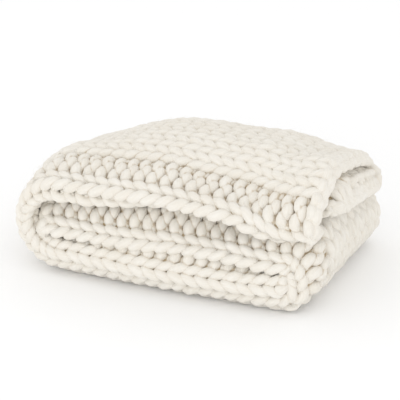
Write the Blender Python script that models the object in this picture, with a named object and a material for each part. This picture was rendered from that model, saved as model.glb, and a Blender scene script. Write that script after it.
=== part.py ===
"""A chunky hand-knit blanket, doubled along its length and then folded over in three.

Units are metres, +Z is up, +X runs along the folded blanket and +Y from its front to its back.
The origin is the bottom centre of the folded blanket's box.

One knitted cloth is doubled about its back edge, so that both long edges meet at the front. The
doubled cloth then runs from its free end at the right along the top, round a wide fold at the left,
back along the bottom, round a tight fold at the right and in again, to a free end inside the wide
fold. A place on it is given by where it is along that route, a number from 0 to 5: the top run is
0 to 1, the left fold 1 to 2, the bottom run 2 to 3, the right fold 3 to 4 and the inner run 4 to 5.
"""

import math

import bmesh
import bpy
from mathutils import Vector

# Overall sizes
LENGTH = 0.565          # over the two folds
DEPTH = 0.360           # front edges to back fold
SHEET = 0.0280          # thickness of the knitted cloth
HALF_SPREAD = 0.0148    # middle of the doubled cloth to the middle of either layer
INNER_ROOM = 0.0780     # height left for the inner run between the other two
END_ROOM = 0.0690       # leftmost outside to the inner run's free end
END_INSET = 0.0080      # top run's free end, back from the right-hand extreme
LEFT_BULGE = 0.0060     # left fold, out from the left-hand extreme of the flat runs
RIGHT_BULGE = 0.0100    # right fold, out from the right-hand extreme of the flat runs
SKEW = 0.055            # sideways lean of the pile's right end for each metre of depth
CENTRE_X = 0.0067       # middle of the leaning pile, before it is moved to the origin

# Heights of the three runs' middle lines, and the radii of the two folds that join them
RUN_THICKNESS = 2 * HALF_SPREAD + SHEET
BOTTOM_Z = RUN_THICKNESS / 2
INNER_Z = RUN_THICKNESS + INNER_ROOM / 2
TOP_Z = RUN_THICKNESS + INNER_ROOM + RUN_THICKNESS / 2
LEFT_RADIUS = (TOP_Z - BOTTOM_Z) / 2
RIGHT_RADIUS = (INNER_Z - BOTTOM_Z) / 2

# Where the straight runs end
TOP_END_X = LENGTH / 2 - END_INSET
LEFT_FOLD_X = -LENGTH / 2 + LEFT_RADIUS + RUN_THICKNESS / 2 - LEFT_BULGE
RIGHT_FOLD_X = LENGTH / 2 - RIGHT_RADIUS - RUN_THICKNESS / 2 + RIGHT_BULGE
INNER_END_X = -LENGTH / 2 + END_ROOM
FRONT_Y = -DEPTH / 2
BACK_Y = DEPTH / 2

# How the front margin lies, by place along the route. The outer layer falls by drop over its last
# reach of cloth, the more sharply the greater the power; the inner layer stops short of it by
# recess, and spread is the distance from the middle of the doubled cloth to that of either layer.
MARGIN_COLUMNS = ("along", "drop", "reach", "power", "recess", "spread")
MARGIN_ROWS = (
    (0.00, 0.048, 0.078, 3.4, 0.060, 0.0165),
    (0.10, 0.041, 0.078, 3.0, 0.056, 0.0156),
    (0.19, 0.029, 0.074, 2.4, 0.050, 0.0148),
    (0.27, 0.021, 0.066, 2.2, 0.044, 0.0148),
    (0.43, 0.014, 0.057, 2.0, 0.036, 0.0148),
    (0.64, 0.010, 0.055, 2.0, 0.026, 0.0148),
    (1.00, 0.006, 0.050, 2.0, 0.010, 0.0148),
    (1.35, 0.003, 0.050, 2.0, 0.006, 0.0148),
    (2.00, 0.000, 0.050, 2.0, 0.002, 0.0148),
    (3.00, 0.000, 0.050, 2.0, 0.002, 0.0148),
    (3.50, 0.014, 0.050, 2.0, 0.012, 0.0158),
    (3.80, 0.034, 0.054, 2.0, 0.030, 0.0180),
    (4.00, 0.041, 0.058, 2.0, 0.044, 0.0205),
    (4.10, 0.039, 0.060, 2.0, 0.054, 0.0225),
    (4.22, 0.033, 0.062, 2.0, 0.058, 0.0235),
    (4.45, 0.036, 0.062, 2.0, 0.058, 0.0235),
    (4.76, 0.043, 0.062, 2.0, 0.058, 0.0235),
    (4.92, 0.042, 0.060, 2.0, 0.058, 0.0225),
    (5.00, 0.036, 0.054, 2.0, 0.052, 0.0160),
)

# Height of the pile over its depth, as a factor on the heights above, at its left end, its middle,
# its right and its free end: it falls towards the pressed back fold, and its front margin sags
# between the middle and the free end.
CROWN_COLUMNS = ("y", "left", "middle", "right", "end")
CROWN_ROWS = (
    (-0.18, 0.99, 1.00, 0.99, 1.08),
    (-0.15, 1.01, 1.05, 1.01, 1.10),
    (-0.12, 1.02, 1.10, 1.00, 1.15),
    (-0.09, 1.01, 1.16, 1.06, 1.25),
    (-0.05, 0.99, 1.23, 1.18, 1.31),
    (-0.01, 0.97, 1.27, 1.24, 1.26),
    (0.05, 0.90, 1.25, 1.22, 1.15),
    (0.10, 0.83, 1.13, 1.13, 1.01),
    (0.15, 0.75, 0.93, 0.97, 0.87),
    (0.18, 0.69, 0.80, 0.84, 0.80),
)
CROWN_X = (-0.27, -0.02, 0.15, 0.26)

# Steps from one place along the route to the next, and steps across the cloth: over its margin,
# over its flat, round its back fold and round the edge of one layer
STATIONS = ((0, 1, 15), (1, 2, 12), (2, 3, 8), (3, 4, 10), (4, 5, 15))
MARGIN_STEPS = 7
FRONT_PACK = 1.4        # above 1, the margin's steps are closer together towards the front
FLAT_STEPS = 6
BACK_STEPS = 8
EDGE_STEPS = 4

WOOL = (0.80, 0.76, 0.68, 1.0)


def smooth_read(rows, column, at):
    """The value of a table's column at a place between its rows, along a smooth curve."""
    places = [row[0] for row in rows]
    values = [row[column] for row in rows]
    rises = [(values[i + 1] - values[i]) / (places[i + 1] - places[i]) for i in range(len(rows) - 1)]
    tangents = [rises[0]] + [0.0] * (len(rows) - 2) + [rises[-1]]
    for i in range(1, len(rows) - 1):
        if rises[i - 1] * rises[i] > 0:
            tangents[i] = (rises[i - 1] + rises[i]) / 2
    i = 0
    while i < len(rows) - 2 and at > places[i + 1]:
        i += 1
    span = places[i + 1] - places[i]
    t = min(max((at - places[i]) / span, 0.0), 1.0)
    start = (2 * t**3 - 3 * t**2 + 1) * values[i] + (t**3 - 2 * t**2 + t) * span * tangents[i]
    end = (3 * t**2 - 2 * t**3) * values[i + 1] + (t**3 - t**2) * span * tangents[i + 1]
    return start + end


def margin(name, along):
    """One column of the margin table at a place along the route."""
    return smooth_read(MARGIN_ROWS, MARGIN_COLUMNS.index(name), along)


def crown(x, y):
    """The height factor of the pile at one place on its plan."""
    factor = smooth_read(CROWN_ROWS, 1, y)
    for i in range(1, len(CROWN_X)):
        share = ease((x - CROWN_X[i - 1]) / (CROWN_X[i] - CROWN_X[i - 1]))
        factor += (smooth_read(CROWN_ROWS, i + 1, y) - factor) * share
    return factor


def ease(t):
    """A soft step from 0 to 1."""
    t = min(max(t, 0.0), 1.0)
    return t * t * (3 - 2 * t)


def route(along):
    """The middle line of the doubled cloth: its x and z, and the direction away from the roll."""
    run = min(int(along), 4)
    t = along - run
    if run == 0:
        return TOP_END_X + (LEFT_FOLD_X - TOP_END_X) * t, TOP_Z, 0.0, 1.0
    if run == 1:
        turn = math.pi * (0.5 + t)
        x = LEFT_FOLD_X + LEFT_RADIUS * math.cos(turn)
        z = (TOP_Z + BOTTOM_Z) / 2 + LEFT_RADIUS * math.sin(turn)
        return x, z, math.cos(turn), math.sin(turn)
    if run == 2:
        return LEFT_FOLD_X + (RIGHT_FOLD_X - LEFT_FOLD_X) * t, BOTTOM_Z, 0.0, -1.0
    if run == 3:
        turn = math.pi * (t - 0.5)
        x = RIGHT_FOLD_X + RIGHT_RADIUS * math.cos(turn)
        z = (BOTTOM_Z + INNER_Z) / 2 + RIGHT_RADIUS * math.sin(turn)
        return x, z, math.cos(turn), math.sin(turn)
    return RIGHT_FOLD_X + (INNER_END_X - RIGHT_FOLD_X) * t, INNER_Z, 0.0, 1.0


def layer_line(along, start):
    """Middle line of the outer layer from y = start back, as (y, m, slope) with m outwards.

    The inner layer follows the same line, twice the spread further in.
    """
    drop = margin("drop", along)
    reach = margin("reach", along)
    power = margin("power", along)
    spread = margin("spread", along)
    knee = max(FRONT_Y + SHEET / 2 + reach, start + SHEET / 2)
    back = BACK_Y - spread - SHEET / 2
    places = [start + (knee - start) * (i / MARGIN_STEPS) ** FRONT_PACK for i in range(MARGIN_STEPS)]
    places += [knee + (back - knee) * i / FLAT_STEPS for i in range(FLAT_STEPS + 1)]
    line = []
    for y in places:
        t = min((y - FRONT_Y - SHEET / 2) / reach, 1.0)
        slope = math.atan2(power * drop * (1 - t) ** (power - 1), reach)
        line.append((y, spread - drop * (1 - t) ** power, slope))
    return line


def offset(line, distance):
    """A line moved sideways by a distance, positive towards the outside of the roll."""
    return [(y - distance * math.sin(slope), m + distance * math.cos(slope)) for y, m, slope in line]


def arc(start, end, steps, clockwise=True):
    """Points strictly inside the half circle from one point to another."""
    centre = ((start[0] + end[0]) / 2, (start[1] + end[1]) / 2)
    radius = math.dist(start, end) / 2
    first = math.atan2(start[1] - centre[1], start[0] - centre[0])
    turn = -math.pi if clockwise else math.pi
    angles = [first + turn * i / steps for i in range(1, steps)]
    return [(centre[0] + radius * math.cos(a), centre[1] + radius * math.sin(a)) for a in angles]


def outline(along):
    """The closed outline of the doubled cloth across its length, as (y, m) points."""
    between = 2 * margin("spread", along)
    front = FRONT_Y + SHEET / 2
    outer = layer_line(along, front)
    inner = layer_line(along, front + margin("recess", along))
    outer_face = offset(outer, SHEET / 2)
    outer_back = offset(outer, -SHEET / 2)
    inner_back = offset(inner, SHEET / 2 - between)
    inner_face = offset(inner, -SHEET / 2 - between)
    points = outer_face
    points = points + arc(outer_face[-1], inner_face[-1], BACK_STEPS)
    points = points + inner_face[::-1]
    points = points + arc(inner_face[0], inner_back[0], EDGE_STEPS)
    points = points + inner_back
    points = points + arc(inner_back[-1], outer_back[-1], EDGE_STEPS, clockwise=False)
    points = points + outer_back[::-1]
    return points + arc(outer_back[0], outer_face[0], EDGE_STEPS)


def place(along, y, m):
    """A point of the doubled cloth in the finished pile."""
    x, z, out_x, out_z = route(along)
    x += out_x * m
    z += out_z * m
    lean = SKEW * (0.5 + x / LENGTH) * y
    return Vector((x + lean - CENTRE_X, y, z * crown(x, y)))


def stations():
    """Every place along the route at which the cloth's outline is set out."""
    places = [0.0]
    for start, end, steps in STATIONS:
        places += [start + (end - start) * i / steps for i in range(1, steps + 1)]
    return places


def loft(rings):
    """One closed solid through a row of closed outlines with the same number of points."""
    mesh = bmesh.new()
    verts = [mesh.verts.new(point) for point in rings[0]]
    count = len(verts)
    edges = [mesh.edges.new((verts[i], verts[(i + 1) % count])) for i in range(count)]
    bmesh.ops.contextual_create(mesh, geom=edges)
    for ring in rings[1:]:
        grown = bmesh.ops.extrude_edge_only(mesh, edges=edges)["geom"]
        new = {item for item in grown if isinstance(item, bmesh.types.BMVert)}
        verts = [next(e.other_vert(v) for e in v.link_edges if e.other_vert(v) in new) for v in verts]
        for vert, point in zip(verts, ring):
            vert.co = point
        edges = [mesh.edges.get((verts[i], verts[(i + 1) % count])) for i in range(count)]
    bmesh.ops.contextual_create(mesh, geom=edges)
    bmesh.ops.recalc_face_normals(mesh, faces=mesh.faces)
    bmesh.ops.triangulate(mesh, faces=mesh.faces, quad_method="SHORT_EDGE", ngon_method="EAR_CLIP")
    return mesh


def wool():
    """Undyed wool, matt and warm white."""
    material = bpy.data.materials.new("undyed_wool")
    material.use_nodes = True
    shader = material.node_tree.nodes["Principled BSDF"]
    shader.inputs["Base Color"].default_value = WOOL
    shader.inputs["Roughness"].default_value = 0.95
    shader.inputs["Metallic"].default_value = 0.0
    return material


def blanket():
    """The folded blanket as one solid."""
    rings = [[place(along, y, m) for y, m in outline(along)] for along in stations()]
    solid = loft(rings)
    data = bpy.data.meshes.new("knit_blanket")
    solid.to_mesh(data)
    solid.free()
    data.materials.append(wool())
    data.shade_smooth()
    data.set_sharp_from_angle(angle=math.radians(50))
    piece = bpy.data.objects.new("knit_blanket", data)
    bpy.context.scene.collection.objects.link(piece)
    return piece


for old in list(bpy.data.objects):
    bpy.data.objects.remove(old)
blanket()
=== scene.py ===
import math
import bmesh
import bpy
import numpy as np
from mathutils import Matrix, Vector


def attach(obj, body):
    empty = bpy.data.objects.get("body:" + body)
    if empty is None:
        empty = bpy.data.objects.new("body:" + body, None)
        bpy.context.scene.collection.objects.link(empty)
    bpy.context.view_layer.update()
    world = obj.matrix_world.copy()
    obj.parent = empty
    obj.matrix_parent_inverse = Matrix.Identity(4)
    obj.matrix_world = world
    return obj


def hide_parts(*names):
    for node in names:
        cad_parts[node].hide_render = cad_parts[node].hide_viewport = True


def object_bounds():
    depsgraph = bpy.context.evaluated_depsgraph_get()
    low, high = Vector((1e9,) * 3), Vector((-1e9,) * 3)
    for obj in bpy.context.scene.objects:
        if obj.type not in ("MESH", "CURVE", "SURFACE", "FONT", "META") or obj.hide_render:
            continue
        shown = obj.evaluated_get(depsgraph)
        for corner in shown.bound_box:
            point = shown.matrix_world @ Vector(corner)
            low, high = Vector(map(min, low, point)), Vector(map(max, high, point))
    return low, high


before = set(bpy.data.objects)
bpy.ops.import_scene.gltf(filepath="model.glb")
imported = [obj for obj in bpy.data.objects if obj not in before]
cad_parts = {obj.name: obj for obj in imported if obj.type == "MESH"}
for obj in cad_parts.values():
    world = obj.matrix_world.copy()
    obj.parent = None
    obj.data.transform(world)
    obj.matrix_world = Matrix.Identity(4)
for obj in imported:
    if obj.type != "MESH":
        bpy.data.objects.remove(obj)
solidLow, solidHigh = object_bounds()
print("frame loaded")

# The pile, in metres. The doubled cloth runs from its free end at the right along the top, round a
# wide fold at the left, back along the bottom, round a tight fold at the right and in again.
pile = {
    "length": 0.565,
    "depth": solidHigh[1] - solidLow[1],
    "sheet": 0.028,  # thickness of the knitting
    "halfSpread": 0.0148,  # middle of the doubled cloth to the middle of a layer
    "innerRoom": 0.078,  # height between the top and the underside
    "endRoom": 0.060,  # from the left to the inner run's end
    "endInset": 0.008,  # from the right to the top's free end
    "leftBulge": 0.006,  # of the folds, out past the length
    "rightBulge": 0.010,
    "cornerPull": 0.016,  # inwards, of the top's free end at the back
    "cornerFrom": 0.06,
    "cornerBlend": 0.12,
    "cornerReach": 0.5,  # of the top, that it is felt in
    "skew": 0.055,  # to the right at the back, growing to the right-hand end
    "centreX": 0.0067,
    "droopPast": 0.12,  # of its reach, that a margin droops on past the front edge
    "liftReach": 0.11,  # from the front, over which the underside's inner layer rises
}
pile["run"] = 2 * pile["halfSpread"] + pile["sheet"]
pile["bottomZ"] = pile["run"] / 2
pile["innerZ"] = pile["run"] + pile["innerRoom"] / 2
pile["topZ"] = pile["run"] + pile["innerRoom"] + pile["run"] / 2
pile["leftRadius"] = (pile["topZ"] - pile["bottomZ"]) / 2
pile["rightRadius"] = (pile["innerZ"] - pile["bottomZ"]) / 2
pile["topEndX"] = pile["length"] / 2 - pile["endInset"]
pile["leftFoldX"] = -pile["length"] / 2 + pile["leftRadius"] + pile["run"] / 2 - pile["leftBulge"]
pile["rightFoldX"] = pile["length"] / 2 - pile["rightRadius"] - pile["run"] / 2 + pile["rightBulge"]
pile["innerEndX"] = -pile["length"] / 2 + pile["endRoom"]
pile["frontY"] = -pile["depth"] / 2
pile["backY"] = pile["depth"] / 2

# How the front margin lies, by place along the route: 0 to 1 is the top, 1 to 2 the left fold, 2 to 3
# the bottom, 3 to 4 the right fold and 4 to 5 the inner run.
# drop, reach, power: how far it droops, from how far behind the edge, and how bent.
# spread, hug: half the distance between the layers' middles, and a factor on it.
# inset, recess: how far in the edges lie, and how much further the inner layer's.
# roll, rollRadius, hang: the outer edge's turn in radians, its radius and the straight end after it.
# innerRoll, innerHang: the same of the inner edge. lift: how far the inner layer rises at the front.
marginTable = {
    "columns": (
        "along", "drop", "reach", "power", "recess", "spread", "inset",
        "hug", "roll", "innerRoll", "rollRadius", "lift", "hang", "innerHang",
    ),
    "rows": (
        (0.00, 0.0600, 0.080, 4.5, 0.060, 0.0165, 0.000, 0.62, 2.80, 0.00, 0.016, 0.000, 0.000, 0.000),
        (0.10, 0.0520, 0.080, 3.4, 0.056, 0.0156, 0.000, 0.72, 2.70, 0.00, 0.016, 0.000, 0.000, 0.000),
        (0.19, 0.0310, 0.075, 2.5, 0.050, 0.0148, 0.000, 0.84, 2.20, 0.00, 0.015, 0.000, 0.000, 0.000),
        (0.27, 0.0210, 0.066, 2.2, 0.046, 0.0148, 0.000, 0.97, 1.60, 0.00, 0.014, 0.000, 0.000, 0.000),
        (0.43, 0.0130, 0.057, 2.0, 0.040, 0.0148, 0.000, 0.88, 1.05, 0.00, 0.013, 0.000, 0.000, 0.000),
        (0.64, 0.0090, 0.055, 2.0, 0.026, 0.0148, 0.000, 0.78, 0.90, 0.10, 0.013, 0.000, 0.000, 0.002),
        (0.80, 0.0070, 0.052, 2.0, 0.012, 0.0148, 0.000, 0.64, 0.85, 0.30, 0.013, 0.000, 0.000, 0.004),
        (1.00, 0.0040, 0.050, 2.0, 0.004, 0.0148, 0.000, 0.58, 0.95, 0.60, 0.014, 0.000, 0.000, 0.005),
        (1.35, 0.0020, 0.050, 2.0, 0.002, 0.0148, 0.000, 0.54, 1.20, 0.90, 0.015, 0.000, 0.000, 0.007),
        (2.00, 0.0000, 0.050, 2.0, 0.003, 0.0148, 0.000, 0.95, 1.50, 1.30, 0.014, 0.018, 0.004, 0.022),
        (2.30, 0.0000, 0.050, 2.0, 0.001, 0.0148, 0.000, 1.20, 1.50, 1.40, 0.012, 0.028, 0.008, 0.036),
        (2.60, 0.0000, 0.050, 2.0, 0.001, 0.0148, 0.001, 1.25, 1.50, 1.45, 0.012, 0.030, 0.008, 0.038),
        (3.00, 0.0000, 0.050, 2.0, 0.000, 0.0148, 0.002, 1.15, 1.55, 1.30, 0.014, 0.018, 0.006, 0.022),
        (3.50, 0.0180, 0.050, 2.0, 0.010, 0.0158, 0.002, 1.10, 1.90, 0.40, 0.025, 0.000, 0.000, 0.000),
        (3.80, 0.0420, 0.054, 2.0, 0.026, 0.0180, 0.001, 1.00, 1.60, 0.00, 0.025, 0.000, 0.000, 0.000),
        (4.00, 0.0500, 0.058, 2.0, 0.040, 0.0205, 0.000, 1.00, 1.00, 0.00, 0.018, 0.000, 0.000, 0.000),
        (4.10, 0.0455, 0.058, 2.0, 0.050, 0.0260, 0.000, 1.00, 0.70, 0.00, 0.013, 0.000, 0.000, 0.000),
        (4.22, 0.0395, 0.056, 2.0, 0.054, 0.0300, 0.000, 1.00, 0.50, 0.00, 0.013, 0.000, 0.000, 0.000),
        (4.45, 0.0425, 0.056, 2.0, 0.054, 0.0300, 0.000, 1.00, 0.50, 0.00, 0.013, 0.000, 0.000, 0.000),
        (4.76, 0.0495, 0.056, 2.0, 0.054, 0.0300, 0.000, 1.00, 0.50, 0.00, 0.013, 0.000, 0.000, 0.000),
        (4.92, 0.0480, 0.056, 2.0, 0.054, 0.0290, 0.000, 1.00, 0.50, 0.00, 0.013, 0.000, 0.000, 0.000),
        (5.00, 0.0395, 0.052, 2.0, 0.050, 0.0210, 0.000, 1.00, 0.50, 0.00, 0.013, 0.000, 0.000, 0.000),
    ),
}

# How the lower layer hangs out from under the upper one at the top's free end.
freeEndTable = {
    "columns": ("along", "fall", "out"),
    "rows": (
        (-0.08, 0.050, 0.006),
        (0.00, 0.027, 0.021),
        (0.05, 0.003, 0.030),
        (0.10, -0.003, 0.029),
        (0.16, 0.000, 0.022),
        (0.45, 0.000, 0.000),
        (1.00, 0.000, 0.000),
    ),
    "from": 0.04,  # behind the front edge, where it starts
    "blend": 0.09,
    "layerFrom": 0.35,  # how late and how fast it sets in, below the middle of the doubled cloth
    "layerSlope": 1.6,
}

# Height of the pile over its depth, as a factor, at four places along it.
crownTable = {
    "columns": ("y", "left", "middle", "right", "end"),
    "rows": (
        (-0.18, 0.99, 1.00, 0.99, 1.08),
        (-0.15, 1.01, 1.05, 1.01, 1.10),
        (-0.12, 1.07, 1.10, 1.00, 1.15),
        (-0.09, 1.08, 1.16, 1.06, 1.25),
        (-0.05, 1.06, 1.23, 1.18, 1.31),
        (-0.01, 0.97, 1.27, 1.24, 1.26),
        (0.05, 0.90, 1.26, 1.22, 1.18),
        (0.10, 0.83, 1.15, 1.15, 1.07),
        (0.15, 0.75, 0.94, 0.99, 0.94),
        (0.18, 0.69, 0.81, 0.88, 0.89),
    ),
    "x": (-0.27, -0.02, 0.15, 0.26),
}


def smoothRead(table, name, at):  # a column of a table, along a smooth curve
    rows = np.array(table["rows"])
    places = rows[:, 0]
    values = rows[:, table["columns"].index(name)]
    spans = np.diff(places)
    rises = np.diff(values) / spans
    inner = np.where(rises[:-1] * rises[1:] > 0, (rises[:-1] + rises[1:]) / 2, 0.0)
    tangents = np.concatenate((rises[:1], inner, rises[-1:]))
    i = np.clip(np.searchsorted(places, at) - 1, 0, len(spans) - 1)
    t = np.clip((at - places[i]) / spans[i], 0.0, 1.0)
    start = (2 * t**3 - 3 * t**2 + 1) * values[i] + (t**3 - 2 * t**2 + t) * spans[i] * tangents[i]
    end = (3 * t**2 - 2 * t**3) * values[i + 1] + (t**3 - t**2) * spans[i] * tangents[i + 1]
    return start + end


def ease(t):
    t = np.clip(t, 0.0, 1.0)
    return t * t * (3 - 2 * t)


def crown(x, y):  # height factor of the pile over its plan
    factor = smoothRead(crownTable, "left", y)
    stops = crownTable["x"]
    for i, name in enumerate(crownTable["columns"][2:]):
        share = ease((x - stops[i]) / (stops[i + 1] - stops[i]))
        factor = factor + (smoothRead(crownTable, name, y) - factor) * share
    return factor


def route(along):  # middle line of the doubled cloth: x, z and the direction away from the roll
    run = np.clip(np.floor(along), 0, 4)
    t = along - run
    p = pile
    topX = p["topEndX"] + (p["leftFoldX"] - p["topEndX"]) * t
    leftTurn = math.pi * (0.5 + t)
    leftX = p["leftFoldX"] + p["leftRadius"] * np.cos(leftTurn)
    leftZ = (p["topZ"] + p["bottomZ"]) / 2 + p["leftRadius"] * np.sin(leftTurn)
    bottomX = p["leftFoldX"] + (p["rightFoldX"] - p["leftFoldX"]) * t
    rightTurn = math.pi * (t - 0.5)
    rightX = p["rightFoldX"] + p["rightRadius"] * np.cos(rightTurn)
    rightZ = (p["bottomZ"] + p["innerZ"]) / 2 + p["rightRadius"] * np.sin(rightTurn)
    innerX = p["rightFoldX"] + (p["innerEndX"] - p["rightFoldX"]) * t
    which = [run == i for i in range(5)]
    still = np.zeros_like(t)
    x = np.select(which, [topX, leftX, bottomX, rightX, innerX])
    z = np.select(which, [still + p["topZ"], leftZ, still + p["bottomZ"], rightZ, still + p["innerZ"]])
    outX = np.select(which, [still, np.cos(leftTurn), still, np.cos(rightTurn), still])
    outZ = np.select(which, [still + 1, np.sin(leftTurn), still - 1, np.sin(rightTurn), still + 1])
    return x, z, outX, outZ


def freeEnd(name, y, along):  # how far the lower layer falls or goes out at the top's free end
    share = ease((y - pile["frontY"] - freeEndTable["from"]) / freeEndTable["blend"])
    return smoothRead(freeEndTable, name, along) * share


def layerHeight(y, along, side):  # middle of a layer over the middle of the doubled cloth
    names = ("spread", "drop", "reach", "power", "hug", "lift")
    spread, drop, reach, power, hug, lift = (smoothRead(marginTable, name, along) for name in names)
    t = np.clip((y - pile["frontY"] - pile["sheet"] / 2) / reach, -pile["droopPast"], 1.0)
    lifted = lift * (side - 1) / 2 * (1 - ease((y - pile["frontY"]) / pile["liftReach"]))
    fallen = freeEnd("fall", y, along) * (side - 1) / 2
    return side * spread * hug - drop * (1 - t) ** power + lifted + fallen


# What was knitted: wales across the cloth, each a kind, and courses along it, so many to each run.
knitting = {
    "edgeWales": ("chain", "purl", "purl"),
    "plainWales": 15,
    "coursesOfRuns": (19, 10, 17, 6, 18),
    "course": 0.0242,  # pitch, on the flat
    "widths": {"chain": 0.032, "purl": 0.0295, "knit": 0.0335},
    "fixedPlain": 7,  # plain wales next to the outer border that keep their full width
    "side": {"chain": 1.0, "purl": -1.0, "knit": 1.0},  # 1 where the legs of its loops show
    "lift": {"chain": 0.0, "purl": -0.0035, "knit": 0.0015},  # outwards, of its middle
    "dip": 0.004,  # where the two sides meet
    "dipReach": 0.18,
    "start": 0.002,  # of the top, where the first course lies
    "edgeOut": 0.007,  # middle of the outermost yarn, out from the middle of the solid's edge
    "rollRadius": 0.010,  # of the inner layer's edge
    "blend": 0.34,  # of a wale, where one kind turns into the next
}

# Points that the cloth's line across a course is worked out with.
crossing = {
    "layerSteps": 90,
    "crowding": 1.5,  # power that draws them together at the front
    "turnSteps": 16,
    "rollSteps": 10,
    "leastRoll": 0.02,  # radians, up to which an edge is left straight
    "stub": 0.0001,
}


def waleEdges(total):  # places of the wales' edges across the cloth, from the outer edge
    widths = knitting["widths"]
    border = [widths[kind] for kind in knitting["edgeWales"]]
    fixed = border + [widths["knit"]] * knitting["fixedPlain"]
    others = knitting["plainWales"] - knitting["fixedPlain"]
    rest = (total - sum(fixed) - sum(border)) / others
    return np.concatenate(([0.0], np.cumsum(fixed + [rest] * others + border[::-1])))


def rollStart(inset, angle, radius):  # where a layer's edge starts to roll
    turned = min(angle, math.pi / 2)
    front = pile["frontY"] + pile["sheet"] / 2 + inset
    return front - knitting["edgeOut"] * math.cos(turned) + radius * math.sin(turned)


def rollEdge(y, m, angle, radius, hang):  # adds a rolled, hanging edge to a layer's line, at its front
    size = math.hypot(y[-1] - y[-2], m[-1] - m[-2])
    tangentY, tangentM = (y[-1] - y[-2]) / size, (m[-1] - m[-2]) / size
    turn = np.linspace(0, angle, crossing["rollSteps"]) if angle > crossing["leastRoll"] else np.zeros(1)
    ahead = abs(radius) * np.sin(turn)
    under = radius * (1 - np.cos(turn))
    end = hang + crossing["stub"]
    ahead = np.append(ahead, ahead[-1] + end * math.cos(angle))[1:]
    under = np.append(under, under[-1] + math.copysign(end, radius) * math.sin(angle))[1:]
    y = np.concatenate((y, y[-1] + ahead * tangentY - under * tangentM))
    return y, np.concatenate((m, m[-1] + ahead * tangentM + under * tangentY))


def crossLine(along, waleAt):  # the cloth's middle line across one course, as y, m and normals
    names = ("spread", "recess", "inset", "hug", "roll", "innerRoll", "rollRadius", "hang", "innerHang")
    read = {name: float(smoothRead(marginTable, name, along)) for name in names}
    spread = read["spread"] * read["hug"]
    radius, innerRadius = read["rollRadius"], knitting["rollRadius"]
    outerEdge = rollStart(read["inset"], read["roll"], radius)
    innerEdge = rollStart(read["inset"], read["innerRoll"], innerRadius) + read["recess"]
    back = pile["backY"] - spread - pile["sheet"] / 2
    steps = np.linspace(0, 1, crossing["layerSteps"])
    outerY = (outerEdge + (back - outerEdge) * steps ** crossing["crowding"])[::-1]
    innerY = back + (innerEdge - back) * (1 - (1 - steps) ** crossing["crowding"])
    turn = np.linspace(math.pi / 2, -math.pi / 2, crossing["turnSteps"])[1:-1]
    outer = rollEdge(outerY, layerHeight(outerY, along, 1), read["roll"], radius, read["hang"])
    innerM = layerHeight(innerY, along, -1)
    inner = rollEdge(innerY, innerM, read["innerRoll"], -innerRadius, read["innerHang"])
    y = np.concatenate((outer[0][::-1], back + spread * np.cos(turn), inner[0]))
    m = np.concatenate((outer[1][::-1], spread * np.sin(turn), inner[1]))
    x, z, outX, outZ = route(np.full(len(y), along))
    x = x + outX * m
    z = (z + outZ * m) * crown(x, y)
    s = np.concatenate(([0.0], np.cumsum(np.sqrt(np.diff(y)**2 + np.diff(x)**2 + np.diff(z)**2))))
    edges = waleEdges(s[-1])
    at = np.interp(waleAt, np.arange(len(edges)), edges)
    y, m = np.interp(at, s, y), np.interp(at, s, m)
    tangentY, tangentM = np.gradient(y), np.gradient(m)
    size = np.hypot(tangentY, tangentM)
    return y, m, -tangentM / size, tangentY / size


waleKinds = list(knitting["edgeWales"])
waleKinds += ["knit"] * knitting["plainWales"] + waleKinds[::-1]
waleCount = len(waleKinds)
sideChanges = [
    i for i in range(1, waleCount)
    if knitting["side"][waleKinds[i]] != knitting["side"][waleKinds[i - 1]]
]
courseCount = sum(knitting["coursesOfRuns"])
runStarts = np.concatenate(([0], np.cumsum(knitting["coursesOfRuns"])))

foldGrid = {
    "alongs": np.linspace(-0.08, 5.06, 258),  # a little past both ends of the route
    "wales": np.linspace(0, waleCount, waleCount * 6 + 1),
}
foldGrid["lines"] = np.array([crossLine(a, foldGrid["wales"]) for a in foldGrid["alongs"]])


def gridRead(along, wale):  # y, m and normal of the cloth's middle, between the lines of the grid
    alongs, wales, lines = foldGrid["alongs"], foldGrid["wales"], foldGrid["lines"]
    i = (along - alongs[0]) / (alongs[1] - alongs[0])
    j = wale / (wales[1] - wales[0])
    i0 = np.clip(np.floor(i).astype(int), 0, len(alongs) - 2)
    j0 = np.clip(np.floor(j).astype(int), 0, len(wales) - 2)
    u, v = i - i0, j - j0
    low = lines[i0, :, j0].T * (1 - v) + lines[i0, :, j0 + 1].T * v
    high = lines[i0 + 1, :, j0].T * (1 - v) + lines[i0 + 1, :, j0 + 1].T * v
    return low * (1 - u) + high * u


def fold(course, wale, height, rest):  # a point of the flat knitting, in the folded pile
    first = knitting["start"]
    along = np.interp(course, runStarts, (first, 1, 2, 3, 4, 5))
    along = along + np.minimum(course, 0) * (1 - first) / knitting["coursesOfRuns"][0]
    along = along + np.maximum(course - courseCount, 0) / knitting["coursesOfRuns"][-1]
    y, m, normalY, normalM = gridRead(along, wale)
    y = y + height * normalY
    m = m + height * normalM
    x, z, outX, outZ = route(along)
    x = x + outX * m
    z = z + outZ * m
    below = -freeEndTable["layerSlope"] * m / pile["halfSpread"] - freeEndTable["layerFrom"]
    across = pile["skew"] * (0.5 + x / pile["length"]) * y
    across = across + freeEnd("out", y, along) * np.clip(below, 0.0, 1.0)
    atCorner = ease((y - pile["cornerFrom"]) / pile["cornerBlend"])
    across = across - pile["cornerPull"] * atCorner * np.maximum(1 - along / pile["cornerReach"], 0.0) ** 2
    z = np.maximum(z * crown(x, y), rest)  # what lies on the floor is pressed flat
    return np.stack((x + across - pile["centreX"], y, z), axis=-1)


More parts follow.
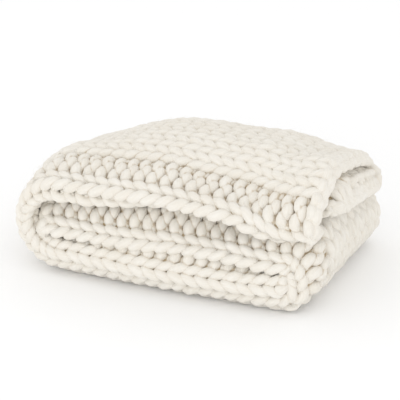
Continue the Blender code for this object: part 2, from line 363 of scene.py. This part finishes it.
def waleRead(values, wale):  # a value for each wale, blended across the edges between them
    inside = np.clip(wale, 0, waleCount - 1e-6)
    at = np.floor(inside).astype(int)
    part = inside - at
    before = np.maximum(at - 1, 0)
    after = np.minimum(at + 1, waleCount - 1)
    values = np.array(values)
    blend = knitting["blend"]
    up = 0.5 + 0.5 * ease(part / blend)
    down = 0.5 + 0.5 * ease((1 - part) / blend)
    here = values[at]
    value = np.where(part < blend, values[before] + (here - values[before]) * up, here)
    return np.where(part > 1 - blend, values[after] + (here - values[after]) * down, value)


def kindRead(values, wale):  # a value for each kind of wale
    return waleRead([values[kind] for kind in waleKinds], wale)


def nearest(places, wale):  # wales to the nearest of these places
    return np.min([np.abs(wale - place) for place in places], axis=0)


# The yarn: a thick soft roving.
yarn = {
    "radius": 0.0084,
    "sides": 12,
    "points": 20,  # to a stitch
    "rest": 1.26,  # radii from the floor to its middle
    "rise": {"chain": 0.84, "purl": 0.67, "knit": 0.84},  # half of a loop's height, in courses
    "plump": {"chain": 0.95, "purl": 1.12, "knit": 1.04},
    "lean": {"chain": 0.235, "purl": 0.220, "knit": 0.240},  # of a leg, in wales
    "depth": {"chain": 0.0060, "purl": 0.0058, "knit": 0.0050},  # of a leg or a head from the middle
    "blunt": 0.7,  # power of the wave: below 1, what shows stays longer in front
    "swell": 0.10,  # plumper in front
    "edgeInset": 0.05,  # turns of the wave left out where a course ends, at the edge of the cloth
    "edgeSteps": 5,  # points round the edge, from course to course
    "edgeTuck": 0.04,  # wales that the yarn tucks in by there, behind the last leg
    "edgeDip": 0.002,
    "edgeThin": 0.30,
    "jitter": {"across": 0.022, "growth": 0.030, "height": 0.0006, "radius": 0.045},
    "seed": 11,
}

# Where strands come close, the wool is painted darker and warmer: painted shade in the crevices between
# them.
creviceShade = {
    "depth": 0.0025,  # clear distance to the next strand, below which the shade is painted in
    "strength": {"chain": 0.62, "purl": 0.75, "knit": 0.42},
    "jointReach": 0.4,  # wales from where knit meets purl, over which the painted shade is deeper
    "courses": 2,  # how far neighbours are looked for
    "turns": 1.2,
    "own": 0.33,  # turns of the same strand that don't count
}

stitchDraw = np.random.RandomState(yarn["seed"])
stitchJitter = {
    name: stitchDraw.normal(0, size, (courseCount, waleCount)) for name, size in yarn["jitter"].items()
}


def courseYarn(k):  # one course as course, wale, height and thickness of points along its yarn
    turns = np.arange(waleCount * yarn["points"] + 1) / yarn["points"]
    turns = turns[(turns > yarn["edgeInset"]) & (turns < waleCount - yarn["edgeInset"])]
    theta = 2 * math.pi * turns
    middles = np.arange(waleCount) + 0.5
    noise = {name: np.interp(turns, middles, values[k]) for name, values in stitchJitter.items()}
    across = kindRead(yarn["lean"], turns) * np.sin(2 * theta)
    wale = np.clip(turns + across + noise["across"], 0, waleCount)
    course = k + 0.5 - kindRead(yarn["rise"], turns) * np.cos(theta) + noise["growth"]
    side = kindRead(knitting["side"], turns)
    wave = np.cos(2 * theta)
    wave = np.sign(wave) * np.abs(wave) ** yarn["blunt"]
    dip = knitting["dip"] * (1 - ease(nearest(sideChanges, turns) / knitting["dipReach"]))
    lift = kindRead(knitting["lift"], turns) - dip
    height = lift - side * kindRead(yarn["depth"], turns) * wave + noise["height"]
    thick = kindRead(yarn["plump"], turns) + yarn["swell"] * (-side * wave) + noise["radius"]
    line = np.stack((course, wale, height, thick), axis=1)
    if k % 2:
        line = line[::-1]
    s = (np.arange(yarn["edgeSteps"]) + 1) / (yarn["edgeSteps"] + 1)  # round the edge to the next course
    bow = np.sin(math.pi * s)
    edge = np.stack((
        line[-1, 0] + s,
        line[-1, 1] - yarn["edgeTuck"] * bow * (-1 if k % 2 else 1),
        line[-1, 2] - yarn["edgeDip"] * bow,
        line[-1, 3] - yarn["edgeThin"] * bow,
    ), axis=1)
    return np.concatenate((line, edge))


def tubeMesh(name, lines, radius, sides):  # round yarn through the points of each line
    curve = bpy.data.curves.new(name, "CURVE")
    curve.dimensions = "3D"
    curve.bevel_depth = radius
    curve.bevel_resolution = (sides - 4) // 2
    curve.use_fill_caps = sides > 4
    for points, thick in lines:
        spline = curve.splines.new("POLY")
        spline.points.add(len(points) - 1)
        spline.points.foreach_set("co", np.column_stack((points, np.ones(len(points)))).ravel())
        spline.points.foreach_set("radius", thick)
    guide = bpy.data.objects.new(name + "_guide", curve)
    bpy.context.scene.collection.objects.link(guide)
    evaluated = guide.evaluated_get(bpy.context.evaluated_depsgraph_get())
    mesh = bpy.data.meshes.new_from_object(evaluated)
    bpy.data.objects.remove(guide)
    bpy.data.curves.remove(curve)
    mesh.name = name
    return mesh


def addPiece(mesh):
    mesh.shade_smooth()
    piece = bpy.data.objects.new(mesh.name, mesh)
    bpy.context.scene.collection.objects.link(piece)
    return piece


def tubePiece(mesh, points, openness):  # marks where the yarn's skin lies and how open it is, for the painted crevice shade, and welds the tube's ends
    around = len(mesh.vertices) // len(points)
    count = around * len(points)
    steps = np.linalg.norm(np.diff(points, axis=0), axis=1)
    turn = np.tile(np.arange(around) * 2 * math.pi / around, len(points))
    place = np.zeros((len(mesh.vertices), 3))
    place[:count, 0] = np.cos(turn)
    place[:count, 1] = np.sin(turn)
    place[:count, 2] = np.repeat(np.concatenate(([0], np.cumsum(steps))), around)
    shown = np.ones(len(mesh.vertices))
    shown[:count] = openness
    mesh.attributes.new("yarn_place", "FLOAT_VECTOR", "POINT").data.foreach_set("vector", place.ravel())
    mesh.attributes.new("yarn_open", "FLOAT", "POINT").data.foreach_set("value", shown)
    made = bmesh.new()
    made.from_mesh(mesh)
    bmesh.ops.remove_doubles(made, verts=made.verts, dist=0.000001)
    made.to_mesh(mesh)
    made.free()
    return addPiece(mesh)


def knitRun(name, flat):  # a run of courses as one serpentine yarn, with the rings of its skin
    points = fold(flat[:, 0], flat[:, 1], flat[:, 2], yarn["radius"] * yarn["rest"])
    mesh = tubeMesh(name, [(points, flat[:, 3])], yarn["radius"], yarn["sides"])
    vertices = np.zeros(len(mesh.vertices) * 3, dtype=np.float32)
    mesh.vertices.foreach_get("co", vertices)
    around = len(mesh.vertices) // len(points)
    rings = vertices[:len(points) * around * 3].reshape(len(points), around, 3)
    return {"mesh": mesh, "points": points, "rings": rings}


def byCourse(parts):  # the whole yarn's values, a row for each course, from the outer edge inwards
    values = np.concatenate(parts)
    values = values.reshape(courseCount, -1, *values.shape[1:])[:, :-yarn["edgeSteps"]]
    values = values.astype(np.float32)
    values[1::2] = values[1::2, ::-1]
    return values


def clearOf(points, size, rings):  # clear distance from the yarn's skin to the strands around it
    clear = np.full(rings.shape[:3], 1.0, dtype=np.float32)
    courses, count = points.shape[:2]
    reach = int(creviceShade["turns"] * yarn["points"])
    for up in range(-creviceShade["courses"], creviceShade["courses"] + 1):
        for on in range(-reach, reach + 1, 2):
            if up == 0 and abs(on) < creviceShade["own"] * yarn["points"]:
                continue
            rows = slice(max(0, -up), courses - max(0, up))
            columns = slice(max(0, -on), count - max(0, on))
            otherRows = slice(rows.start + up, rows.stop + up)
            otherColumns = slice(columns.start + on, columns.stop + on)
            away = rings[rows, columns] - points[otherRows, otherColumns, None]
            gap = np.sqrt(np.einsum("abcd,abcd->abc", away, away)) - size[otherRows, otherColumns, None]
            clear[rows, columns] = np.minimum(clear[rows, columns], gap)
    return clear


def opennessOf(flats, runs):  # of the yarn's skin: 1 in the open, down to 0 deep between strands, where the shade is painted darkest
    points = byCourse([run["points"] for run in runs])
    size = byCourse([flat[:, 3] * yarn["radius"] for flat in flats])
    rings = byCourse([run["rings"] for run in runs])
    clear = clearOf(points, size, rings)
    clear[1::2] = clear[1::2, ::-1]
    wales = np.stack([flat[:-yarn["edgeSteps"], 1] for flat in flats])
    joints = [i for i in sideChanges if "knit" in waleKinds[i - 1:i + 1]]
    joint = 1 - ease(nearest(joints, wales)[:, :, None] / creviceShade["jointReach"])
    strength = kindRead(creviceShade["strength"], wales)[:, :, None]
    strength = strength + (1 - strength) * joint
    depth = creviceShade["depth"] * (1 + joint)
    openness = np.ones((courseCount, len(flats[0]), rings.shape[2]))
    openness[:, :-yarn["edgeSteps"]] = 1 - strength * (1 - np.clip(clear / depth, 0, 1))
    return openness


def knitCloth(names):  # the whole cloth, a piece for each run
    flats = [courseYarn(k) for k in range(courseCount)]
    spans = [slice(first, last) for first, last in zip(runStarts[:-1], runStarts[1:])]
    runs = [knitRun(name, np.concatenate(flats[span])) for name, span in zip(names, spans)]
    openness = opennessOf(flats, runs)
    return [
        tubePiece(run["mesh"], run["points"], openness[span].ravel()) for run, span in zip(runs, spans)
    ]


runNames = ("yarn_top", "yarn_left_fold", "yarn_underside", "yarn_right_fold", "yarn_inner_run")
yarnPieces = knitCloth(runNames)
print("yarn knitted:", sum(len(piece.data.polygons) for piece in yarnPieces), "faces")


endChain = {
    "inset": 0.06,  # courses from the cloth's end to the chain's middle
    "radius": 0.0088,
    "rest": 1.1,  # radii from the floor to its middle
    "link": 0.78,  # wales to a link
    "reach": 0.0050,  # of a leg from the chain's middle
    "taper": 0.45,  # how much nearer the legs come at one end of a link
    "rise": 0.62,  # half of a loop's height, in links
    "depth": 0.0052,
    "swell": 0.06,
    "tilt": math.radians(48),  # how far the chain rolls over the end of the cloth
    "edgeStay": 0.05,  # wales that it stops short of the cloth's edges
    "points": 14,
}


def makeEndChain(name, course, outwards):  # a chain of links along a free end, from edge to edge
    c = endChain
    links = int(waleCount / c["link"])
    turns = np.arange(links * c["points"] + 1) / c["points"]
    theta = 2 * math.pi * turns
    across = c["reach"] * np.sin(theta) * (1 - c["taper"] * np.cos(theta))
    up = -c["depth"] * np.cos(2 * theta)
    wale = c["link"] * (turns + np.sin(theta) / (2 * math.pi) - c["rise"] * np.cos(theta))
    wale = np.clip(wale, c["edgeStay"], waleCount - c["edgeStay"])
    growth = outwards * (math.cos(c["tilt"]) * across + math.sin(c["tilt"]) * up)
    height = math.cos(c["tilt"]) * up - math.sin(c["tilt"]) * across
    points = fold(course + growth / knitting["course"], wale, height, c["radius"] * c["rest"])
    thick = 1 - c["swell"] * np.cos(2 * theta)
    mesh = tubeMesh(name, [(points, thick)], c["radius"], yarn["sides"])
    return tubePiece(mesh, points, 1.0)


yarnPieces.append(makeEndChain("cast_on_chain", endChain["inset"], -1))
yarnPieces.append(makeEndChain("cast_off_chain", courseCount - endChain["inset"], 1))
print("end chains made")


ground = {
    "thickness": 0.005,
    "sink": 0.002,
    "inset": (0.28, 0.40),  # wales and courses that it stays in from the cloth's edges
    "stepsPerCourse": 2,
    "stepsPerWale": 4,
}


def makeGround(name):  # a thin sheet in the middle of the cloth, folded from a flat grid, that shows down the gaps between stitches in a dark brown of painted shade
    made = bmesh.new()
    bmesh.ops.create_grid(
        made,
        x_segments=courseCount * ground["stepsPerCourse"],
        y_segments=waleCount * ground["stepsPerWale"],
        size=0.5,
    )
    flat = np.array([vert.co[:] for vert in made.verts])
    waleInset, courseInset = ground["inset"]
    course = courseInset + (flat[:, 0] + 0.5) * (courseCount - 2 * courseInset)
    wale = waleInset + (flat[:, 1] + 0.5) * (waleCount - 2 * waleInset)
    height = kindRead(knitting["lift"], wale) - ground["sink"]
    for vert, point in zip(made.verts, fold(course, wale, height, ground["thickness"])):
        vert.co = point
    made.normal_update()
    bmesh.ops.solidify(made, geom=made.faces[:], thickness=ground["thickness"])
    bmesh.ops.recalc_face_normals(made, faces=made.faces)
    mesh = bpy.data.meshes.new(name)
    made.to_mesh(mesh)
    made.free()
    return addPiece(mesh)


groundPiece = makeGround("shade_ground_sheet")
print("ground made")


fuzz = {
    "count": 8200,
    "radius": 0.00018,
    "tip": 0.45,  # thickness there, of the root's
    "sides": 4,
    "steps": 3,
    "length": (0.008, 0.022),
    "rise": (0.15, 0.62),  # of its length, that a fibre stands out
    "riseBias": 1.4,  # power that leaves most of them low
    "arch": 0.62,  # of a half wave, from its root to its tip
    "bend": 1.1,  # radians, sideways
    "root": 0.4,  # radii, from the middle of the strand that shows
    "rest": 0.001,
    "ends": 0.1,  # courses and wales left bare at the cloth's ends
    "edgeWales": 1.5,  # next to the cloth's edges, where they stand out less
    "edgeRise": 0.4,
    "edgeShare": 0.22,  # of the fibres, that grow at the edge of the cloth
    "edgeBand": (0.15, 0.8),
    "innerShare": 0.12,  # of the fibres, that grow on the inner layer's front margin
    "innerBand": (0.15, 1.0),
    "seed": 5,
}


def makeFuzz(name):  # loose fibres of the roving, on the sides of the cloth that show
    f = fuzz
    draw = np.random.RandomState(f["seed"])
    count = f["count"]
    course = draw.uniform(f["ends"], courseCount - f["ends"], count)
    wale = draw.uniform(f["ends"], waleCount / 2, count)
    where = draw.uniform(0, 1, count)
    wale = np.where(where < f["edgeShare"], draw.uniform(*f["edgeBand"], count), wale)
    wale = np.where(where > 1 - f["innerShare"], waleCount - draw.uniform(*f["innerBand"], count), wale)
    size = draw.uniform(*f["length"], count)
    rise = size * draw.uniform(*f["rise"], count) ** f["riseBias"]
    inside = np.minimum(wale, waleCount - wale)
    rise = rise * np.where(inside < f["edgeWales"], f["edgeRise"], 1.0)
    heading = draw.uniform(0, 2 * math.pi, count)
    bend = draw.normal(0, f["bend"], count)
    root = yarn["depth"]["purl"] + yarn["radius"] * f["root"]
    parts = []
    for step in range(f["steps"] + 1):
        t = step / f["steps"]
        turned = heading + bend * t
        ahead = size * t
        parts.append(fold(
            course + ahead * np.cos(turned) / knitting["course"],
            wale + ahead * np.sin(turned) / knitting["widths"]["knit"],
            root + rise * math.sin(t * math.pi * f["arch"]),
            f["rest"],
        ))
    points = np.stack(parts, axis=1)
    thick = np.linspace(1.0, f["tip"], f["steps"] + 1)
    mesh = tubeMesh(name, [(line, thick) for line in points], f["radius"], f["sides"])
    return tubePiece(mesh, points.reshape(-1, 3), 1.0)


fuzzPiece = makeFuzz("loose_fibres")
print("fuzz made:", len(fuzzPiece.data.polygons), "faces")


def plainMaterial(name, colour, roughness):
    material = bpy.data.materials.new(name)
    material.use_nodes = True
    shader = material.node_tree.nodes["Principled BSDF"]
    shader.inputs["Base Color"].default_value = (*colour, 1)
    shader.inputs["Roughness"].default_value = roughness
    return material


def addGroup(name, sockets):  # a node group with named sockets; returns it with its two ends
    group = bpy.data.node_groups.new(name, "ShaderNodeTree")
    for way, label, kind, value in sockets:
        socket = group.interface.new_socket(name=label, in_out=way, socket_type=kind)
        if value is not None:
            socket.default_value = value
    return group, group.nodes.new("NodeGroupInput"), group.nodes.new("NodeGroupOutput")


def addNode(tree, kind, settings=None, inputs=None):  # a node with its settings and its inputs' values
    node = tree.nodes.new(kind)
    for key, value in (settings or {}).items():
        setattr(node, key, value)
    for key, value in (inputs or {}).items():
        if isinstance(value, bpy.types.NodeSocket):
            tree.links.new(value, node.inputs[key])
        else:
            node.inputs[key].default_value = value
    return node


wool = {
    "roughness": 0.95,
    "specular": 0.12,
    "sheen": 0.30,
    "sheenRoughness": 0.6,
    "sheenTint": (1.0, 0.97, 0.92, 1),
    "bump": 0.55,
    "bumpDepth": 0.0016,
    "streaksRound": 3.4,
    "streaksAlong": 70.0,
    "twist": 45.0,  # radians to a metre of yarn
    "tufts": 420.0,
    "tuftShare": 0.35,  # of the bump
    "drift": 22.0,  # scale of the shade's drift over the blanket
    "streakShare": 0.65,  # of the shade, that comes from the streaks
    "warmRange": (0.66, 0.32),  # from the light shade to the warm one
    "openRange": (0.05, 0.75),  # from the painted shade of the gaps to the skin's colour
}

woolShades = {
    "cream_wool": {
        # gap: painted shade, darker and warmer, for the crevices between strands
        "light": (0.825, 0.795, 0.735), "warm": (0.78, 0.735, 0.655), "gap": (0.50, 0.40, 0.27),
    },
    # painted light: the loose fibres are much lighter than the yarn, standing in for light through them
    # and lifting their own shade
    "lightened_fibre_wool": {
        "light": (0.97, 0.95, 0.90), "warm": (0.94, 0.91, 0.85), "gap": (0.94, 0.91, 0.85),
    },
    # painted shade: the ground sheet's dark brown is the shade seen down the gaps between stitches
    "painted_shade_wool": {
        "light": (0.52, 0.43, 0.31), "warm": (0.44, 0.35, 0.23), "gap": (0.44, 0.35, 0.23),
    },
}


def makeFibreGroup():  # soft streaks of roving along the yarn, and their height
    group, given, result = addGroup("roving_fibres", (
        ("INPUT", "Place", "NodeSocketVector", None),
        ("INPUT", "Object", "NodeSocketVector", None),
        ("INPUT", "Round", "NodeSocketFloat", wool["streaksRound"]),
        ("INPUT", "Along", "NodeSocketFloat", wool["streaksAlong"]),
        ("OUTPUT", "Streak", "NodeSocketFloat", None),
        ("OUTPUT", "Height", "NodeSocketFloat", None),
    ))
    parts = addNode(group, "ShaderNodeSeparateXYZ", inputs={0: given.outputs["Place"]})
    twist = addNode(group, "ShaderNodeMath", {"operation": "MULTIPLY"}, {
        0: parts.outputs[2], 1: wool["twist"],
    })
    turned = addNode(group, "ShaderNodeVectorRotate", {"rotation_type": "Z_AXIS"}, {
        "Vector": given.outputs["Place"], "Angle": twist.outputs[0],
    })
    scale = addNode(group, "ShaderNodeCombineXYZ", inputs={
        0: given.outputs["Round"], 1: given.outputs["Round"], 2: given.outputs["Along"],
    })
    spread = addNode(group, "ShaderNodeVectorMath", {"operation": "MULTIPLY"}, {
        0: turned.outputs[0], 1: scale.outputs[0],
    })
    streak = addNode(group, "ShaderNodeTexNoise", inputs={
        "Vector": spread.outputs[0], "Scale": 1.0, "Detail": 5.0, "Roughness": 0.62, "Distortion": 0.5,
    })
    tuft = addNode(group, "ShaderNodeTexNoise", inputs={
        "Vector": given.outputs["Object"],
        "Scale": wool["tufts"], "Detail": 4.0, "Roughness": 0.65, "Distortion": 0.8,
    })
    height = addNode(group, "ShaderNodeMix", {"data_type": "FLOAT"}, {
        0: wool["tuftShare"], 2: streak.outputs["Fac"], 3: tuft.outputs["Fac"],
    })
    group.links.new(streak.outputs["Fac"], result.inputs["Streak"])
    group.links.new(height.outputs[0], result.inputs["Height"])
    return group


def makeColourGroup():  # wool colour, painted darker and warmer in the gaps as shade, and drifting a little over the blanket
    group, given, result = addGroup("wool_colour", (
        ("INPUT", "Streak", "NodeSocketFloat", 0.5),
        ("INPUT", "Open", "NodeSocketFloat", 1.0),
        ("INPUT", "Object", "NodeSocketVector", None),
        ("INPUT", "Light", "NodeSocketColor", None),
        ("INPUT", "Warm", "NodeSocketColor", None),
        ("INPUT", "GapShade", "NodeSocketColor", None),
        ("OUTPUT", "Colour", "NodeSocketColor", None),
    ))
    drift = addNode(group, "ShaderNodeTexNoise", inputs={
        "Vector": given.outputs["Object"],
        "Scale": wool["drift"], "Detail": 3.0, "Roughness": 0.5, "Distortion": 0.3,
    })
    warmth = addNode(group, "ShaderNodeMix", {"data_type": "FLOAT"}, {
        0: wool["streakShare"], 2: drift.outputs["Fac"], 3: given.outputs["Streak"],
    })
    share = addNode(group, "ShaderNodeMapRange", {"interpolation_type": "SMOOTHSTEP"}, {
        "Value": warmth.outputs[0], "From Min": wool["warmRange"][0], "From Max": wool["warmRange"][1],
    })
    body = addNode(group, "ShaderNodeMix", {"data_type": "RGBA"}, {
        0: share.outputs[0], 6: given.outputs["Light"], 7: given.outputs["Warm"],
    })
    shown = addNode(group, "ShaderNodeMapRange", {"interpolation_type": "SMOOTHSTEP"}, {
        "Value": given.outputs["Open"], "From Min": wool["openRange"][0], "From Max": wool["openRange"][1],
    })
    # painted shade: the gap colour is mixed in where the skin lies deep between strands
    whole = addNode(group, "ShaderNodeMix", {"data_type": "RGBA"}, {
        0: shown.outputs[0], 6: given.outputs["GapShade"], 7: body.outputs[2],
    })
    group.links.new(whole.outputs[2], result.inputs["Colour"])
    return group


def woolMaterial(name):  # the wool, in one of its shades: the yarn's, the loose fibres' painted lighter, or the ground's painted dark as shade
    shades = {key: (*colour, 1) for key, colour in woolShades[name].items()}
    material = plainMaterial(name, woolShades[name]["light"], wool["roughness"])
    tree = material.node_tree
    shader = tree.nodes["Principled BSDF"]
    places = addNode(tree, "ShaderNodeAttribute", {"attribute_name": "yarn_place"})
    opened = addNode(tree, "ShaderNodeAttribute", {"attribute_name": "yarn_open"})
    space = addNode(tree, "ShaderNodeTexCoord")
    fibres = addNode(tree, "ShaderNodeGroup", {"node_tree": fibreGroup}, {
        "Place": places.outputs["Vector"], "Object": space.outputs["Object"],
    })
    colour = addNode(tree, "ShaderNodeGroup", {"node_tree": colourGroup}, {
        "Streak": fibres.outputs["Streak"],
        "Open": opened.outputs["Fac"],
        "Object": space.outputs["Object"],
        "Light": shades["light"],
        "Warm": shades["warm"],
        "GapShade": shades["gap"],
    })
    bump = addNode(tree, "ShaderNodeBump", inputs={
        "Strength": wool["bump"], "Distance": wool["bumpDepth"], "Height": fibres.outputs["Height"],
    })
    tree.links.new(colour.outputs["Colour"], shader.inputs["Base Color"])
    tree.links.new(bump.outputs["Normal"], shader.inputs["Normal"])
    shader.inputs["Specular IOR Level"].default_value = wool["specular"]
    shader.inputs["Sheen Weight"].default_value = wool["sheen"]
    shader.inputs["Sheen Roughness"].default_value = wool["sheenRoughness"]
    shader.inputs["Sheen Tint"].default_value = wool["sheenTint"]
    return material


fibreGroup = makeFibreGroup()
colourGroup = makeColourGroup()
creamWool = woolMaterial("cream_wool")
for piece in yarnPieces:
    piece.data.materials.append(creamWool)
fuzzPiece.data.materials.append(woolMaterial("lightened_fibre_wool"))
groundPiece.data.materials.append(woolMaterial("painted_shade_wool"))
print("wool coloured")

for piece in yarnPieces + [groundPiece, fuzzPiece]:
    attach(piece, "root")
    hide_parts("knit_blanket")


floor = {
    "size": 12,
    "colour": (0.98, 0.98, 0.98),
    "roughness": 0.95,
}


def makeFloor(name):
    made = bmesh.new()
    bmesh.ops.create_grid(made, x_segments=1, y_segments=1, size=floor["size"])
    mesh = bpy.data.meshes.new(name)
    made.to_mesh(mesh)
    made.free()
    mesh.materials.append(plainMaterial("pale_floor", floor["colour"], floor["roughness"]))
    addPiece(mesh)


def aim(thing, place, target):
    thing.location = place
    thing.rotation_euler = (Vector(target) - Vector(place)).to_track_quat("-Z", "Y").to_euler()


camera = {
    "azimuth": math.radians(22),
    "elevation": math.radians(24.5),
    "distance": 2.7,
    "lens": 135,
    "sensor": 36,
    "target": (-0.0026, 0.0, 0.10),
    "aimRight": 0.0036,
    "aimUp": 0.0036,
}


def makeCamera():
    c = camera
    a, e = c["azimuth"], c["elevation"]
    towards = Vector((math.sin(a) * math.cos(e), -math.cos(a) * math.cos(e), math.sin(e)))
    right = Vector((math.cos(a), math.sin(a), 0))
    up = right.cross(-towards)
    lens = bpy.data.cameras.new("camera")
    lens.lens = c["lens"]
    lens.sensor_width = c["sensor"]
    viewer = bpy.data.objects.new("camera", lens)
    bpy.context.scene.collection.objects.link(viewer)
    target = Vector(c["target"])
    aim(viewer, target + towards * c["distance"], target + right * c["aimRight"] + up * c["aimUp"])
    bpy.context.scene.camera = viewer


studio = {
    "lights": (
        {"name": "key_light", "place": (-0.8, -2.8, 0.6), "size": 2.0, "watts": 12},
        {"name": "fill_light", "place": (1.8, -2.3, 0.5), "size": 2.0, "watts": 9},
    ),
    "target": (0, 0, 0.1),
    "world": 1.01,  # strength of the white all round
}


def makeLights():
    for row in studio["lights"]:
        data = bpy.data.lights.new(row["name"], "AREA")
        data.size = row["size"]
        data.energy = row["watts"]
        lamp = bpy.data.objects.new(row["name"], data)
        bpy.context.scene.collection.objects.link(lamp)
        aim(lamp, row["place"], studio["target"])
    world = bpy.data.worlds.new("studio")
    world.use_nodes = True
    background = world.node_tree.nodes["Background"]
    background.inputs["Color"].default_value = (1, 1, 1, 1)
    background.inputs["Strength"].default_value = studio["world"]
    bpy.context.scene.world = world


makeFloor("studio_floor")
makeCamera()
makeLights()
bpy.context.scene.view_settings.view_transform = "Standard"
print("studio set")
